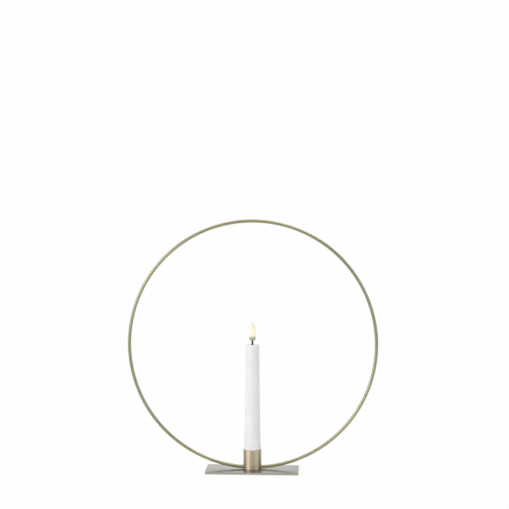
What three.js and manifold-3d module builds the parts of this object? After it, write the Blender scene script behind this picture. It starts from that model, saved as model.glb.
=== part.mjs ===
// LED candlestick: a hoop of round rod on a flat base plate, with a cup that holds a battery taper.
// Millimetres, +Z up. The origin is on the table, under the middle of the base plate.
// X runs along the plate and across the hoop, and -Y is the front.

import * as THREE from 'three';
import { mergeVertices } from 'three/addons/utils/BufferGeometryUtils.js';
import Module from 'manifold-3d';

const wasm = await Module();
wasm.setup();

// Base plate and the pads under it

const plateLength = 130;
const plateDepth = 50;
const plateThickness = 3;
const plateCornerRadius = 1;
const plateEdgeBevel = 0.25;
const padDiameter = 9;
const padThickness = 0.8;
const padInset = 8;

// Hoop

const hoopDiameter = 350;
const rodDiameter = 4.5;
const hoopEndOffset = 5;

// Candle body, measured on its wax

const waxBaseDiameter = 23.2;
const waxTopDiameter = 18.5;
const waxTopThickness = 8.1;
const waxCollar = 1;
const waxShoulder = 1.1;
const waxDishDepth = 0.7;
const waxDishRound = 0.3;
const waxClearance = 0.2;

// Cup and the screw that holds it

const cupWall = 0.9;
const cupHeight = 28;
const cupFootHeight = 7;
const cupEdgeBevel = 0.35;
const cupFootBevel = 0.6;
const candleClearance = 0.2;
const notchClearance = 0.15;
const screwDiameter = 4;
const screwHeadDiameter = 7.6;
const screwHeadHeight = 2;
const screwGrip = 5.5;
const screwClearance = 0.2;
const hexKeySize = 2.5;
const hexKeyDepth = 1.4;

// Battery cells

const cellDiameter = 10.5;
const cellLength = 44.5;
const cellButtonDiameter = 3.6;
const cellButtonHeight = 0.9;
const cellEdgeRound = 0.5;

// Bottom cap and its slide switch

const capInset = 0.3;
const capHeight = 5;
const capRecessDiameter = 16;
const capRecessDepth = 2;
const capFloor = 1.5;
const capSpigotWall = 1.1;
const capSpigotHeight = 3.8;
const switchLength = 7;
const switchWidth = 3.4;
const switchHeight = 3;
const switchTravel = 3;
const switchPin = 0.7;
const switchPinOffset = 2.5;
const knobLength = 2;
const knobWidth = 1.4;
const knobStem = 0.8;
const knobProud = 1.1;
const knobClearance = 0.25;

// Battery carrier, its spring and its contacts

const carrierWall = 1.05;
const carrierRing = 4;
const carrierWeb = 0.9;
const carrierOpening = 1.5;
const cellClearance = 0.2;
const springPlateThickness = 0.4;
const springHeight = 6;
const springTurns = 4;
const springWire = 0.7;
const springBaseDiameter = 8;
const springTipDiameter = 4.6;
const stripWidth = 3;
const stripThickness = 0.3;
const stripLip = 0.6;
const contactPadDiameter = 5;
const contactPadThickness = 1;
const contactRingWidth = 1.9;
const contactPin = 0.8;
const contactPinRise = 0.4;
const discThickness = 2.2;

// Inner tube, board and the lit tip

const tubeWall = 0.9;
const tubeClearance = 0.4;
const tubeTopThickness = 1.5;
const boardWidth = 9;
const boardLength = 36;
const boardThickness = 1;
const boardSlotDepth = 1.2;
const roomAboveBoard = 12.5;
const chipLength = 5;
const chipWidth = 4;
const chipHeight = 1.4;
const resistorLength = 3.2;
const resistorDiameter = 1.6;
const leadDiameter = 0.9;
const leadRise = 4.5;
const stripBoardWidth = 1;
const stripBoardThickness = 0.5;
const stripBoardLap = 6;
const wickDiameter = 2.4;
const wickWall = 0.35;
const wickLength = 5.5;
const wickFlangeDiameter = 6;
const wickFlangeThickness = 1.2;
const wickSeat = 2;
const flameDiameter = 9.4;
const flameLength = 27.4;
const flameBoreClearance = 0.15;
const ledHeightInFlame = 11;
const ledLength = 1.6;
const ledWidth = 1;
const ledHeight = 0.6;

// The flame's drop, as shares of its radius and of its length

const flameFootWidth = 0.98;
const flameBellyHeight = 0.06;
const flameWidestHeight = 0.4;
const flameShoulderHeight = 0.78;
const flameNeckWidth = 0.58;
const flameNeckHeight = 0.86;

// Gaps between pieces that touch or slide on the real object

const restGap = 0.1;
const stackGap = 0.15;
const slipGap = 0.2;
const cutterReach = 1;
const mergeDistance = 1e-4;

// Facets: sides of the round pieces and steps along the curved ones

const hoopSteps = 104;
const rodSides = 16;
const cupSides = 56;
const waxSides = 52;
const innerSides = 36;
const smallSides = 20;
const wireSides = 6;
const leadSides = 8;
const leadSteps = 12;
const arcSteps = 4;
const cornerSteps = 3;
const springStepsPerTurn = 12;
const flameLowerSteps = 6;
const flameUpperSteps = 12;

// Heights above the table

const plateTop = padThickness + plateThickness;
const candleBase = plateTop + cupFootHeight;

// Heights above the candle's base

const capFloorTop = capRecessDepth + capFloor;
const spigotTop = capHeight + capSpigotHeight;
const tabBottom = spigotTop + slipGap;
const webBottom = tabBottom + stripThickness + slipGap;
const webTop = webBottom + carrierWeb;
const springPlateBottom = webTop + stackGap;
const springBottom = springPlateBottom + springPlateThickness + stackGap;
const lowerCellBottom = springBottom + springHeight + stackGap;
const upperCellBottom = lowerCellBottom + cellLength + stackGap;
const contactPadBottom = upperCellBottom + cellLength + stackGap;
const discBottom = contactPadBottom + contactPadThickness + stackGap;
const discTop = discBottom + discThickness;
const contactRingBottom = discBottom - stackGap - stripThickness;
const stripTop = contactRingBottom - stackGap;
const carrierTop = stripTop - stripLip;
const boardBottom = discTop - boardSlotDepth + stackGap;
const boardTop = boardBottom + boardLength;
const wickBottom = boardTop + roomAboveBoard;
const tubeCeiling = wickBottom + wickFlangeThickness + stackGap;
const tubeTop = tubeCeiling + tubeTopThickness;
const waxCeiling = tubeTop + slipGap;
const waxTop = waxCeiling + waxTopThickness;
const flameBottom = waxTop + wickLength;
const ledCentre = flameBottom + ledHeightInFlame;

// Radii

const rodRadius = rodDiameter / 2;
const hoopRadius = hoopDiameter / 2 - rodRadius;
const waxBaseRadius = waxBaseDiameter / 2;
const cupBoreRadius = waxBaseRadius + candleClearance;
const cupRadius = cupBoreRadius + cupWall;
const capRadius = waxBaseRadius - capInset;
const cellRadius = cellDiameter / 2;
const carrierBoreRadius = cellRadius + cellClearance;
const carrierRadius = carrierBoreRadius + carrierWall;
const spigotRadius = carrierBoreRadius - slipGap;
const tubeBoreRadius = carrierRadius + tubeClearance;
const tubeRadius = tubeBoreRadius + tubeWall;
const waxBoreRadius = tubeRadius + waxClearance;
const discRadius = tubeBoreRadius - slipGap;
const wickRadius = wickDiameter / 2;
const wickBoreRadius = wickRadius - wickWall;

// Places across the candle: the carrier opens to the front, so its strip runs up the back

const stripFront = carrierRadius - stripThickness - slipGap;
const boardFront = stripBoardThickness / 2 + stackGap;
const contactPinOffset = -contactPadDiameter / 3;
const tabTip = switchPin / 2;
const stripPinOffset = { x: stripWidth / 2 - switchPin, y: tabTip + switchPin };
const springPinOffset = { x: -switchPinOffset, y: 0 };

// Materials

function finish(color, roughness, metalness) {
  return new THREE.MeshStandardMaterial({ color, roughness, metalness });
}

const champagneMetal = () => finish(0xa89f86, 0.34, 1);
const springSteel = () => finish(0xb9bcbf, 0.3, 1);
const nickel = () => finish(0xc9c6bd, 0.25, 1);
const wax = () => finish(0xf1efe9, 0.55, 0);
const blackPlastic = () => finish(0x1b1b1c, 0.55, 0);
const whitePlastic = () => finish(0xe9e8e4, 0.5, 0);
const foam = () => finish(0x2a2a2b, 0.9, 0);
const flameSilicone = () => finish(0xffe9b0, 0.35, 0);

// Geometry helpers

// Merges shared vertices, drops collapsed triangles and turns the faces outwards.
function closedSolid(geometry) {
  const bare = geometry.clone();
  bare.deleteAttribute('normal');
  bare.deleteAttribute('uv');
  const merged = mergeVertices(bare, mergeDistance);
  const corner = [new THREE.Vector3(), new THREE.Vector3(), new THREE.Vector3()];
  const kept = [];
  let sixVolumes = 0;
  for (let i = 0; i < merged.index.count; i += 3) {
    const triangle = [0, 1, 2].map((k) => merged.index.getX(i + k));
    if (new Set(triangle).size < 3) continue;
    kept.push(...triangle);
    triangle.forEach((vertex, k) => corner[k].fromBufferAttribute(merged.attributes.position, vertex));
    sixVolumes += corner[0].dot(corner[1].cross(corner[2]));
  }
  if (sixVolumes < 0) kept.reverse();
  merged.setIndex(kept);
  return merged;
}

function toManifold(geometry) {
  const solid = closedSolid(geometry);
  return new wasm.Manifold(new wasm.Mesh({
    numProp: 3,
    vertProperties: solid.attributes.position.array,
    triVerts: new Uint32Array(solid.index.array),
  }));
}

function fromManifold(manifold) {
  const mesh = manifold.getMesh();
  const geometry = new THREE.BufferGeometry();
  geometry.setAttribute('position', new THREE.BufferAttribute(mesh.vertProperties.slice(), 3));
  geometry.setIndex(new THREE.BufferAttribute(mesh.triVerts.slice(), 1));
  return geometry;
}

function cut(body, ...cutters) {
  const whole = toManifold(body);
  return fromManifold(cutters.reduce((left, cutter) => left.subtract(toManifold(cutter)), whole));
}

function join(first, ...others) {
  return fromManifold(others.reduce((whole, other) => whole.add(toManifold(other)), toManifold(first)));
}

// A solid turned about Z from a profile of [radius, height] points.
function turned(profile, sides) {
  const points = profile.map(([radius, height]) => new THREE.Vector2(radius, height));
  return closedSolid(new THREE.LatheGeometry(points, sides).rotateX(Math.PI / 2));
}

function cylinder(diameter, bottom, top, sides = smallSides) {
  const height = top - bottom;
  return new THREE.CylinderGeometry(diameter / 2, diameter / 2, height, sides)
    .rotateX(Math.PI / 2)
    .translate(0, 0, bottom + height / 2);
}

function block(sizeX, sizeY, bottom, top) {
  return new THREE.BoxGeometry(sizeX, sizeY, top - bottom).translate(0, 0, (top + bottom) / 2);
}

// Points of a quarter round in a profile, from one angle to another about its centre.
function quarterRound(centreRadius, centreHeight, radius, fromDegrees, toDegrees) {
  return Array.from({ length: arcSteps + 1 }, (_, i) => {
    const angle = THREE.MathUtils.degToRad(THREE.MathUtils.lerp(fromDegrees, toDegrees, i / arcSteps));
    return [centreRadius + radius * Math.cos(angle), centreHeight + radius * Math.sin(angle)];
  });
}

function roundSection(diameter, sides) {
  const ring = Array.from({ length: sides }, (_, i) => {
    const angle = (2 * Math.PI * i) / sides;
    return new THREE.Vector2(Math.cos(angle), Math.sin(angle)).multiplyScalar(diameter / 2);
  });
  return new THREE.Shape(ring);
}

function tube(path, diameter, steps, sides) {
  const options = { steps, extrudePath: path, bevelEnabled: false };
  return closedSolid(new THREE.ExtrudeGeometry(roundSection(diameter, sides), options));
}

// Assembly: the holder stands on the table, the candle stands on the cup's floor

const candlestick = new THREE.Group();
const candle = new THREE.Group();
candle.position.z = candleBase;
candlestick.add(candle);

function place(parent, name, geometry, material) {
  const piece = new THREE.Mesh(closedSolid(geometry), material);
  piece.name = name;
  parent.add(piece);
  return piece;
}

// Base plate, with a countersunk hole for the cup's screw

const screwHeadBottom = padThickness + restGap;
const screwHeadTop = screwHeadBottom + screwHeadHeight;

// The screw's own outline, or a cutter around it when grown by a clearance.
function screwOutline(growth, bottom, top) {
  const headRadius = screwHeadDiameter / 2 + growth;
  const shankRadius = screwDiameter / 2 + growth;
  return [
    [0, bottom], [headRadius, bottom], [headRadius, screwHeadBottom],
    [shankRadius, screwHeadTop], [shankRadius, top], [0, top],
  ];
}

function basePlate() {
  const halfLength = plateLength / 2 - plateEdgeBevel;
  const halfDepth = plateDepth / 2 - plateEdgeBevel;
  const outline = new THREE.Shape();
  outline.moveTo(-halfLength + plateCornerRadius, -halfDepth);
  const corners = [[1, -1, -90], [1, 1, 0], [-1, 1, 90], [-1, -1, 180]];
  for (const [sideX, sideY, start] of corners) {
    const centreX = sideX * (halfLength - plateCornerRadius);
    const centreY = sideY * (halfDepth - plateCornerRadius);
    const from = THREE.MathUtils.degToRad(start);
    outline.absarc(centreX, centreY, plateCornerRadius, from, from + Math.PI / 2);
  }
  const plate = new THREE.ExtrudeGeometry(outline, {
    depth: plateThickness - 2 * plateEdgeBevel,
    curveSegments: cornerSteps,
    bevelThickness: plateEdgeBevel,
    bevelSize: plateEdgeBevel,
    bevelSegments: 1,
  }).translate(0, 0, padThickness + plateEdgeBevel);
  const hole = screwOutline(screwClearance, padThickness - cutterReach, plateTop + cutterReach);
  return cut(plate, turned(hole, smallSides));
}

place(candlestick, 'base_plate', basePlate(), champagneMetal());

for (const [sideY, depthName] of [[-1, 'front'], [1, 'back']]) {
  for (const [sideX, sideName] of [[-1, 'left'], [1, 'right']]) {
    const name = `pad_${depthName}_${sideName}`;
    const pad = place(candlestick, name, cylinder(padDiameter, 0, padThickness), foam());
    pad.position.x = sideX * (plateLength / 2 - padInset);
    pad.position.y = sideY * (plateDepth / 2 - padInset);
  }
}

// Hoop: its two ends lie in notches of the cup's foot, and it stands on the plate

const hoopCentre = plateTop + restGap + rodRadius + hoopRadius;
const hoopRise = (x) => hoopRadius - Math.sqrt(hoopRadius ** 2 - x ** 2);

class HoopCurve extends THREE.Curve {
  getPoint(t, target = new THREE.Vector3()) {
    const endAngle = Math.asin(hoopEndOffset / hoopRadius);
    const angle = THREE.MathUtils.lerp(endAngle, 2 * Math.PI - endAngle, t);
    return target.set(hoopRadius * Math.sin(angle), 0, hoopCentre - hoopRadius * Math.cos(angle));
  }
}

place(candlestick, 'hoop', tube(new HoopCurve(), rodDiameter, hoopSteps, rodSides), champagneMetal());

// Cup: a turned socket on a solid foot, with a notch on each side for the hoop's ends

function cupNotch(side) {
  const width = rodDiameter + 2 * notchClearance;
  const crown = plateTop + restGap + rodRadius + hoopRise(cupRadius);
  const inner = hoopEndOffset - slipGap;
  const outer = cupRadius + cutterReach;
  const middle = side * (inner + outer) / 2;
  const arch = cylinder(width, inner, outer).rotateY(Math.PI / 2).translate(0, 0, crown);
  if (side < 0) arch.translate(-inner - outer, 0, 0);
  const slot = block(outer - inner, width, plateTop - cutterReach, crown).translate(middle, 0, 0);
  return join(arch, slot);
}

function cup() {
  const top = plateTop + cupHeight;
  const body = turned([
    [0, plateTop],
    [cupRadius - cupFootBevel, plateTop],
    [cupRadius, plateTop + cupFootBevel],
    ...quarterRound(cupRadius - cupEdgeBevel, top - cupEdgeBevel, cupEdgeBevel, 0, 90),
    [cupBoreRadius + cupEdgeBevel / 2, top],
    [cupBoreRadius, top - cupEdgeBevel / 2],
    [cupBoreRadius, candleBase],
    [0, candleBase],
  ], cupSides);
  const holeDiameter = screwDiameter + 2 * screwClearance;
  const screwHole = cylinder(holeDiameter, plateTop - cutterReach, plateTop + screwGrip + slipGap);
  return cut(body, cupNotch(-1), cupNotch(1), screwHole);
}

place(candlestick, 'cup', cup(), champagneMetal());

// Screw from below: through the plate into the cup's foot

function cupScrew() {
  const outline = screwOutline(0, screwHeadBottom, plateTop + screwGrip);
  const acrossCorners = 2 * hexKeySize / Math.sqrt(3);
  const keyHole = cylinder(acrossCorners, screwHeadBottom - cutterReach, screwHeadBottom + hexKeyDepth, 6);
  return cut(turned(outline, smallSides), keyHole);
}

place(candlestick, 'cup_screw', cupScrew(), springSteel());

// Bottom cap: closes the candle and holds the switch over a slot in its floor

function knobSlot(bottom, top) {
  return block(knobLength + switchTravel + 2 * knobClearance, knobWidth + 2 * knobClearance, bottom, top);
}

function bottomCap() {
  const recessRadius = capRecessDiameter / 2;
  const spigotBoreRadius = spigotRadius - capSpigotWall;
  const body = turned([
    [0, capRecessDepth],
    [recessRadius, capRecessDepth],
    [recessRadius, 0],
    [capRadius - cupEdgeBevel, 0],
    [capRadius, cupEdgeBevel],
    [capRadius, capHeight],
    [spigotRadius, capHeight],
    [spigotRadius, spigotTop],
    [spigotBoreRadius, spigotTop],
    [spigotBoreRadius, capFloorTop],
    [0, capFloorTop],
  ], waxSides);
  return cut(body, knobSlot(0, capHeight));
}

place(candle, 'bottom_cap', bottomCap(), whitePlastic());

// Slide switch: one pin reaches the strip's foot, the other the plate under the spring

const switchBottom = capFloorTop + restGap;

function switchBody() {
  const top = switchBottom + switchHeight;
  const pinTo = (offset, height) => block(switchPin, switchPin, top - cutterReach, height)
    .translate(offset.x, offset.y, 0);
  const slot = knobSlot(switchBottom - cutterReach, switchBottom + knobStem + slipGap);
  const body = cut(block(switchLength, switchWidth, switchBottom, top), slot);
  const stripPin = pinTo(stripPinOffset, tabBottom - stackGap);
  const springPin = pinTo(springPinOffset, springPlateBottom - stackGap);
  return join(body, stripPin, springPin);
}

place(candle, 'slide_switch', switchBody(), blackPlastic());

// The knob rests at the ON end of its slot and slides along +X to OFF.
const knob = block(knobLength, knobWidth, capRecessDepth - knobProud, switchBottom + knobStem);
place(candle, 'switch_knob', knob.translate(-switchTravel / 2, 0, 0), blackPlastic());

// Battery carrier: a cradle that pushes onto the cap's spigot, with a web under the spring

function batteryCarrier() {
  const tubeBody = turned([
    [carrierBoreRadius, capHeight],
    [carrierRadius, capHeight],
    [carrierRadius, carrierTop],
    [carrierBoreRadius, carrierTop],
    [carrierBoreRadius, webTop],
    [0, webTop],
    [0, webBottom],
    [carrierBoreRadius, webBottom],
    [carrierBoreRadius, capHeight],
  ], innerSides);
  const openingBottom = webTop + carrierRing;
  const openingTop = carrierTop - carrierRing;
  const openingDepth = carrierRadius + cutterReach;
  const opening = block(2 * openingDepth, openingDepth, openingBottom, openingTop)
    .translate(0, -openingDepth / 2 - carrierOpening, 0);
  const grooveWidth = stripWidth + 2 * slipGap;
  const grooveDepth = stripThickness + 2 * slipGap + cutterReach;
  const groove = block(grooveWidth, grooveDepth, tabBottom - slipGap, carrierTop + cutterReach)
    .translate(0, stripFront - slipGap + grooveDepth / 2, 0);
  const footSlot = block(grooveWidth, carrierRadius, tabBottom - slipGap, webBottom)
    .translate(0, carrierRadius / 2 + cutterReach, 0);
  const pinHole = cylinder(2 * switchPin, webBottom - cutterReach, webTop + cutterReach)
    .translate(springPinOffset.x, springPinOffset.y, 0);
  return cut(tubeBody, opening, groove, footSlot, pinHole);
}

place(candle, 'battery_carrier', batteryCarrier(), whitePlastic());

// Contact strip: up the carrier's back, with its foot turned in over the switch

function contactStrip() {
  const upright = block(stripWidth, stripThickness, tabBottom, stripTop)
    .translate(0, stripFront + stripThickness / 2, 0);
  const footLength = stripFront + stripThickness - tabTip;
  const foot = block(stripWidth, footLength, tabBottom, tabBottom + stripThickness)
    .translate(0, tabTip + footLength / 2, 0);
  return join(upright, foot);
}

place(candle, 'contact_strip', contactStrip(), nickel());

// Spring plate and the conical spring that presses the cells upwards

const springPlate = cylinder(springBaseDiameter + 2 * slipGap, springPlateBottom,
  springPlateBottom + springPlateThickness, innerSides);
place(candle, 'spring_plate', springPlate, nickel());

class SpringCurve extends THREE.Curve {
  getPoint(t, target = new THREE.Vector3()) {
    const angle = 2 * Math.PI * springTurns * t;
    const coilRadius = (THREE.MathUtils.lerp(springBaseDiameter, springTipDiameter, t) - springWire) / 2;
    const height = springBottom + springWire / 2 + (springHeight - springWire) * t;
    return target.set(coilRadius * Math.cos(angle), coilRadius * Math.sin(angle), height);
  }
}

const batterySpring = tube(new SpringCurve(), springWire, springTurns * springStepsPerTurn, wireSides);
place(candle, 'battery_spring', batterySpring, springSteel());

const springTurnGap = Math.hypot((springHeight - springWire) / springTurns,
  (springBaseDiameter - springTipDiameter) / 2 / springTurns) - springWire;
console.log(`Least gap between the spring's turns: ${springTurnGap.toFixed(2)} mm`);

// Two cells in line, buttons up

function batteryCell(bottom) {
  const shoulder = bottom + cellLength - cellButtonHeight;
  const buttonRadius = cellButtonDiameter / 2;
  return turned([
    [0, bottom],
    [cellRadius - cellEdgeRound, bottom],
    [cellRadius, bottom + cellEdgeRound],
    [cellRadius, shoulder - cellEdgeRound],
    [cellRadius - cellEdgeRound, shoulder],
    [buttonRadius, shoulder],
    [buttonRadius, bottom + cellLength],
    [0, bottom + cellLength],
  ], innerSides);
}

place(candle, 'battery_lower', batteryCell(lowerCellBottom), nickel());
place(candle, 'battery_upper', batteryCell(upperCellBottom), nickel());

// Contact disc in the inner tube: the cells' button meets its pad, the strip meets its ring

const ringPinOffset = discRadius - contactRingWidth;
const pinTop = discTop + contactPinRise;

function contactPinAt(x, y, growth = 0) {
  return cylinder(contactPin + 2 * growth, contactRingBottom, pinTop).translate(x, y, 0);
}

function contactDisc() {
  const disc = cylinder(2 * discRadius, discBottom, discTop, innerSides);
  const slotBottom = discTop - boardSlotDepth;
  const slotWidth = boardWidth + 2 * stackGap;
  const slot = block(slotWidth, boardThickness + 2 * stackGap, slotBottom, discTop + cutterReach)
    .translate(0, boardFront + boardThickness / 2, 0);
  const pinHoles = [contactPinAt(0, contactPinOffset, stackGap), contactPinAt(ringPinOffset, 0, stackGap)];
  return cut(disc, slot, ...pinHoles);
}

place(candle, 'contact_disc', contactDisc(), whitePlastic());

const padDisc = cylinder(contactPadDiameter, contactPadBottom, contactPadBottom + contactPadThickness);
place(candle, 'positive_contact', join(padDisc, contactPinAt(0, contactPinOffset)), nickel());

function ringContact() {
  const outer = discRadius - stackGap;
  const inner = outer - contactRingWidth;
  const top = contactRingBottom + stripThickness;
  const ring = turned([
    [inner, contactRingBottom],
    [outer, contactRingBottom],
    [outer, top],
    [inner, top],
    [inner, contactRingBottom],
  ], innerSides);
  return join(ring, contactPinAt(ringPinOffset, 0));
}

place(candle, 'negative_contact', ringContact(), nickel());

// Inner tube: a capped liner inside the wax

const wickHoleRadius = wickRadius + slipGap;

const innerTube = turned([
  [tubeBoreRadius, capHeight],
  [tubeRadius, capHeight],
  [tubeRadius, tubeTop],
  [wickHoleRadius, tubeTop],
  [wickHoleRadius, tubeCeiling],
  [tubeBoreRadius, tubeCeiling],
  [tubeBoreRadius, capHeight],
], innerSides);
place(candle, 'inner_tube', innerTube, whitePlastic());

// Wax shell: straight in the cup, then a taper, with a soft shoulder and a shallow dish

function waxShell() {
  const taperStart = cupHeight - cupFootHeight + waxCollar;
  const topRadius = waxTopDiameter / 2;
  return turned([
    [waxBoreRadius, capHeight],
    [waxBaseRadius, capHeight],
    [waxBaseRadius, taperStart],
    ...quarterRound(topRadius - waxShoulder, waxTop - waxShoulder, waxShoulder, 0, 90),
    [topRadius - 2 * waxShoulder, waxTop - waxDishRound],
    [topRadius / 2, waxTop - waxDishDepth],
    [wickHoleRadius, waxTop - waxDishDepth],
    [wickHoleRadius, waxCeiling],
    [waxBoreRadius, waxCeiling],
    [waxBoreRadius, capHeight],
  ], waxSides);
}

place(candle, 'wax_shell', waxShell(), wax());

// Circuit board, standing in the contact disc's slot, with its chip and resistor

const circuitBoard = block(boardWidth, boardThickness, boardBottom, boardTop)
  .translate(0, boardFront + boardThickness / 2, 0);
place(candle, 'circuit_board', circuitBoard, finish(0x2f6b3c, 0.5, 0));

const boardMiddle = (boardBottom + boardTop) / 2;
const chip = block(chipWidth, chipHeight, boardMiddle - chipLength / 2, boardMiddle + chipLength / 2)
  .translate(0, boardFront - restGap - chipHeight / 2, 0);
place(candle, 'flicker_chip', chip, blackPlastic());

const resistor = cylinder(resistorDiameter, -resistorLength / 2, resistorLength / 2)
  .rotateY(Math.PI / 2)
  .translate(0, boardFront - restGap - resistorDiameter / 2, boardMiddle + chipLength);
place(candle, 'led_resistor', resistor, finish(0xc8a878, 0.6, 0));

// Leads from the disc's two pins to the board's face

function lead(pinX, pinY, boardX) {
  const start = pinTop + stackGap;
  const meets = boardFront - stackGap;
  const path = new THREE.CatmullRomCurve3([
    new THREE.Vector3(pinX, pinY, start),
    new THREE.Vector3(pinX, pinY, start + leadDiameter),
    new THREE.Vector3(boardX, meets - 2 * leadDiameter, start + leadRise),
    new THREE.Vector3(boardX, meets - leadDiameter, start + leadRise + leadDiameter),
    new THREE.Vector3(boardX, meets, start + leadRise + leadDiameter),
  ]);
  return tube(path, leadDiameter, leadSteps, leadSides);
}

const leadSpread = boardWidth / 3;
place(candle, 'positive_lead', lead(0, contactPinOffset, -leadSpread), finish(0xb3261e, 0.5, 0));
place(candle, 'negative_lead', lead(ringPinOffset, 0, leadSpread), blackPlastic());

// LED strip: a narrow board from the circuit board up through the wick into the flame

const ledStripBottom = boardTop - stripBoardLap;
const ledStripTop = ledCentre + ledLength;
const ledStrip = block(stripBoardWidth, stripBoardThickness, ledStripBottom, ledStripTop);
place(candle, 'led_strip', ledStrip, finish(0xe8e4d2, 0.5, 0));

const led = block(ledWidth, ledHeight, ledCentre - ledLength / 2, ledCentre + ledLength / 2)
  .translate(0, -stripBoardThickness / 2 - restGap - ledHeight / 2, 0);
place(candle, 'led', led, finish(0xffe08a, 0.3, 0));

// Wick: a black sleeve, held by its flange under the tube's top

const wick = turned([
  [wickBoreRadius, wickBottom],
  [wickFlangeDiameter / 2, wickBottom],
  [wickFlangeDiameter / 2, wickBottom + wickFlangeThickness],
  [wickRadius, wickBottom + wickFlangeThickness],
  [wickRadius, flameBottom + wickSeat],
  [wickBoreRadius, flameBottom + wickSeat],
  [wickBoreRadius, wickBottom],
], smallSides);
place(candle, 'wick', wick, blackPlastic());

// Flame: a drop with a bore that takes the wick's top and the LED

function flame() {
  const radius = flameDiameter / 2;
  const boreRadius = wickRadius + flameBoreClearance;
  const boreTop = ledStripTop + slipGap;
  const widest = flameBottom + flameLength * flameWidestHeight;
  const tip = flameBottom + flameLength;
  const lower = new THREE.CubicBezierCurve(
    new THREE.Vector2(boreRadius + wickWall, flameBottom),
    new THREE.Vector2(radius * flameFootWidth, flameBottom),
    new THREE.Vector2(radius, flameBottom + flameLength * flameBellyHeight),
    new THREE.Vector2(radius, widest),
  );
  const upper = new THREE.CubicBezierCurve(
    new THREE.Vector2(radius, widest),
    new THREE.Vector2(radius, flameBottom + flameLength * flameShoulderHeight),
    new THREE.Vector2(radius * flameNeckWidth, flameBottom + flameLength * flameNeckHeight),
    new THREE.Vector2(0, tip),
  );
  const outline = [...lower.getPoints(flameLowerSteps), ...upper.getPoints(flameUpperSteps).slice(1)];
  return turned([
    [0, boreTop],
    [boreRadius, boreTop],
    [boreRadius, flameBottom],
    ...outline.map((point) => [point.x, point.y]),
  ], innerSides);
}

place(candle, 'flame', flame(), flameSilicone());

export default candlestick;
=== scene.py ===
# %% [markdown]
# LED candlestick: a lesson in turned parts, bent rod and believable metal and wax
#
# The object is small and plain: a flat plate, a cup turned on a lathe, a large hoop of round rod and a
# battery taper. Plain objects are unforgiving, because every edge and every tone is in view.
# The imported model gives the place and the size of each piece. This file dresses them: it builds finer
# meshes over the faceted ones, gives each a finish, and sets up a plain studio.

# %% Load the frame

import math

import bmesh
import bpy
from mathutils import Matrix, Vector, noise


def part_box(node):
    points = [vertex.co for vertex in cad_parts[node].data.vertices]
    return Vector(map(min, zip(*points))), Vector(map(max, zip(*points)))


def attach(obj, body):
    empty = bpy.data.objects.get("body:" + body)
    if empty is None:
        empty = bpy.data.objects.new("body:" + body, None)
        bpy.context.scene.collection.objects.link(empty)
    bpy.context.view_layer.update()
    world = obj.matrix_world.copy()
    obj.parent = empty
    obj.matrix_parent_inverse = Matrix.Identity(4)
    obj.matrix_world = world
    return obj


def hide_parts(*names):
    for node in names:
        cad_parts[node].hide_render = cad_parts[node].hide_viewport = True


MM = 0.001

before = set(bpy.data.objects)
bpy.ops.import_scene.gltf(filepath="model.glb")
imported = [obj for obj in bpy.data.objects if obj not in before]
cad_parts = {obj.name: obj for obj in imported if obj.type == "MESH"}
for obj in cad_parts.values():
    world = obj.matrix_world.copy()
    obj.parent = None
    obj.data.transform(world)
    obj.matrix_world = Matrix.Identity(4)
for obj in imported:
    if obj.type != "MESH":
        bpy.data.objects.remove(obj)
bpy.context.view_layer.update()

# %% [markdown]
# The camera
#
# A product photograph is taken from far away with a long lens, so that uprights stay upright. The camera
# stands 1.67 m off and 0.4 m up and looks slightly down. It also stands three degrees to the right, which
# turns the hoop a little: its right side comes nearer. The focal length is written in pixels of a picture
# 509 pixels wide, because that is how it was found, and is turned into millimetres for the lens.

# %% Camera

PICTURE_WIDTH = 509
FOCAL_PIXELS = 1202.5
SENSOR_WIDTH = 36
CAMERA_DISTANCE = 1.67
CAMERA_HEIGHT = 0.397
CAMERA_AROUND = math.radians(3.0)
CAMERA_PITCH = math.radians(3.151)
CAMERA_PAN = math.radians(0.1)


def make_camera():
    lens = bpy.data.cameras.new("studio_camera")
    lens.sensor_width = SENSOR_WIDTH
    lens.lens = FOCAL_PIXELS * SENSOR_WIDTH / PICTURE_WIDTH
    made = bpy.data.objects.new("studio_camera", lens)
    bpy.context.scene.collection.objects.link(made)
    bpy.context.scene.camera = made
    made.location = (
        CAMERA_DISTANCE * math.sin(CAMERA_AROUND),
        -CAMERA_DISTANCE * math.cos(CAMERA_AROUND),
        CAMERA_HEIGHT,
    )
    made.rotation_euler = (math.pi / 2 - CAMERA_PITCH, 0, CAMERA_AROUND - CAMERA_PAN)
    return made


camera = make_camera()
print("Lens:", round(camera.data.lens, 1), "mm at", [round(x, 3) for x in camera.location], "m")

# %% [markdown]
# Shader nodes in code
#
# A material is a small graph. Building one by hand is clear in the editor and long in a script, so a few
# helpers keep it short. `add` makes a node and wires or fills its sockets, and the ones after it make the
# nodes that come back again and again. `new_group` starts a group with named sockets: an effect that
# several finishes share, such as fine grain, lives in such a group. The shader itself stays in each
# material.

# %% Node helpers


def add(tree, kind, inputs=None, **settings):
    """Adds a node, sets its options, and links or fills its input sockets."""
    made = tree.nodes.new(kind)
    for option, value in settings.items():
        setattr(made, option, value)
    for socket, value in (inputs or {}).items():
        if isinstance(value, bpy.types.NodeSocket):
            tree.links.new(value, made.inputs[socket])
        else:
            made.inputs[socket].default_value = value
    return made


def calculate(tree, operation, *values):
    """The result of a math node on sockets or numbers."""
    return add(tree, "ShaderNodeMath", dict(enumerate(values)), operation=operation).outputs[0]


def rising(tree, value, low, high):
    """A factor that goes from 0 to 1 as the value goes from low to high."""
    ends = {"Value": value, "From Min": low, "From Max": high}
    return add(tree, "ShaderNodeMapRange", ends).outputs[0]


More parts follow.
